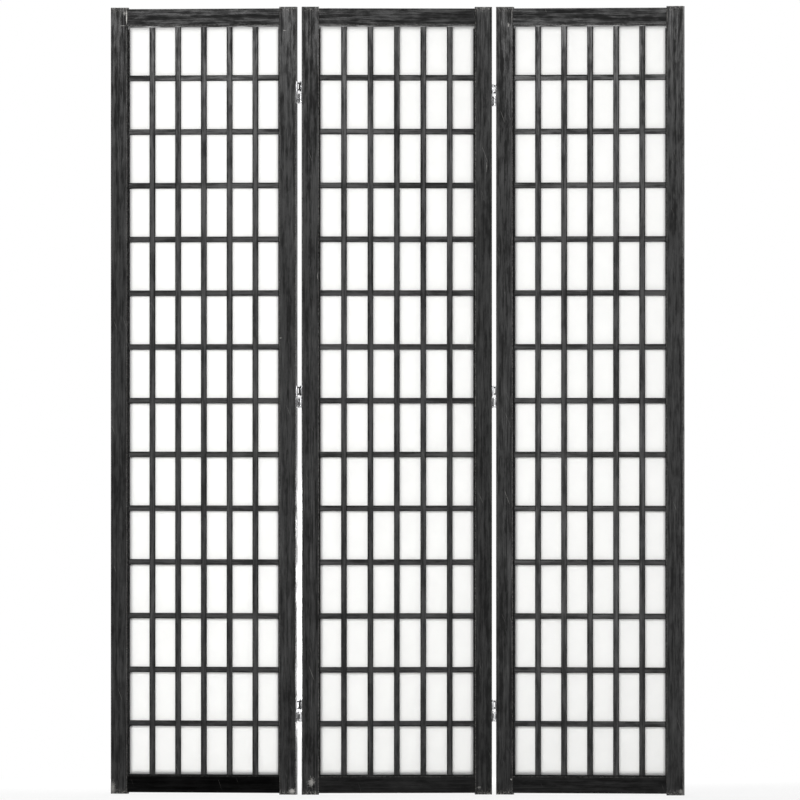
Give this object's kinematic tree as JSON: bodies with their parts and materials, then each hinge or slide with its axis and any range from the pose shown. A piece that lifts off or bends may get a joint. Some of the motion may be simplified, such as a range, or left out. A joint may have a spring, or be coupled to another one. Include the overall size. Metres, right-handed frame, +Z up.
{
  "type": "folding screen",
  "caption": "Freestanding folding room divider: dark wooden frames with an inlaid grid lattice over translucent paper, joined by double-action hinges so each outer panel folds either way.",
  "frame": {"origin": "middle of the screen's footprint, on the floor", "axes": "+X along the screen to the viewer's right, +Y from the front to the back where the beads are, +Z up"},
  "size_m": [1.3048, 0.1202, 1.784],
  "materials": {
    "frame_wood": "black stained, satin, with fine grain",
    "lattice_wood": "black stained, satin",
    "paper": "matt translucent white paper",
    "hinge_steel": "bright plated steel",
    "screw_steel": "bright plated steel"
  },
  "bodies": {
    "middle_panel": {"middle_panel_left_stile": "frame_wood", "middle_panel_right_stile": "frame_wood", "middle_panel_top_rail": "frame_wood", "middle_panel_bottom_rail": "frame_wood", "middle_panel_upright_bars": "lattice_wood", "middle_panel_cross_bars": "lattice_wood", "middle_panel_lattice_border": "lattice_wood", "middle_panel_paper": "paper", "middle_panel_back_beads": "frame_wood", "left_hinges_right_leaves": "hinge_steel", "left_hinges_right_screws": "screw_steel", "left_hinges_upper_rear_pins": "hinge_steel", "left_hinges_lower_front_pins": "hinge_steel", "right_hinges_left_leaves": "hinge_steel", "right_hinges_left_screws": "screw_steel", "right_hinges_upper_front_pins": "hinge_steel", "right_hinges_lower_rear_pins": "hinge_steel"},
    "left_panel": {"left_panel_left_stile": "frame_wood", "left_panel_right_stile": "frame_wood", "left_panel_top_rail": "frame_wood", "left_panel_bottom_rail": "frame_wood", "left_panel_upright_bars": "lattice_wood", "left_panel_cross_bars": "lattice_wood", "left_panel_lattice_border": "lattice_wood", "left_panel_paper": "paper", "left_panel_back_beads": "frame_wood", "left_hinges_left_leaves": "hinge_steel", "left_hinges_left_screws": "screw_steel", "left_hinges_upper_front_pins": "hinge_steel", "left_hinges_lower_rear_pins": "hinge_steel"},
    "right_panel": {"right_panel_left_stile": "frame_wood", "right_panel_right_stile": "frame_wood", "right_panel_top_rail": "frame_wood", "right_panel_bottom_rail": "frame_wood", "right_panel_upright_bars": "lattice_wood", "right_panel_cross_bars": "lattice_wood", "right_panel_lattice_border": "lattice_wood", "right_panel_paper": "paper", "right_panel_back_beads": "frame_wood", "right_hinges_right_leaves": "hinge_steel", "right_hinges_right_screws": "screw_steel", "right_hinges_upper_rear_pins": "hinge_steel", "right_hinges_lower_front_pins": "hinge_steel"},
    "left_upper_links": {"left_hinges_upper_links": "hinge_steel"},
    "left_lower_links": {"left_hinges_lower_links": "hinge_steel", "left_hinges_lower_rear_pin_ends": "hinge_steel"},
    "right_upper_links": {"right_hinges_upper_links": "hinge_steel"},
    "right_lower_links": {"right_hinges_lower_links": "hinge_steel", "right_hinges_lower_front_pin_ends": "hinge_steel"}
  },
  "joints": [
    {"name": "right_fold_front", "type": "hinge", "parent": "middle_panel", "child": "right_upper_links", "pos_m": [0.21766, 0.00611, 0.901], "axis": [0, 0, -1], "range_deg": [-21.41, 156.88]},
    {"name": "right_fold_back", "type": "hinge", "parent": "right_upper_links", "child": "right_panel", "pos_m": [0.22459, 0.02793, 0.901], "axis": [0, 0, 1], "range_deg": [-8.62, 83.09]},
    {"name": "right_lower_link_turn", "type": "hinge", "parent": "middle_panel", "child": "right_lower_links", "pos_m": [0.21553, 0.02821, 0.901], "axis": [0, 0, 1], "range_deg": [-6.65, 64.06]},
    {"name": "left_fold_back", "type": "hinge", "parent": "middle_panel", "child": "left_upper_links", "pos_m": [-0.21866, -0.0136, 0.901], "axis": [0, 0, -1], "range_deg": [-22.14, 156.15]},
    {"name": "left_fold_front", "type": "hinge", "parent": "left_upper_links", "child": "left_panel", "pos_m": [-0.22587, -0.03533, 0.901], "axis": [0, 0, 1], "range_deg": [-8.35, 83.36]},
    {"name": "left_lower_link_turn", "type": "hinge", "parent": "middle_panel", "child": "left_lower_links", "pos_m": [-0.21653, -0.0357, 0.901], "axis": [0, 0, 1], "range_deg": [-6.44, 64.27]}
  ],
  "couplings": [
    {"joint": "right_lower_link_turn", "follows": "right_fold_back", "ratio": 0.771},
    {"joint": "left_lower_link_turn", "follows": "left_fold_front", "ratio": 0.771}
  ]
}
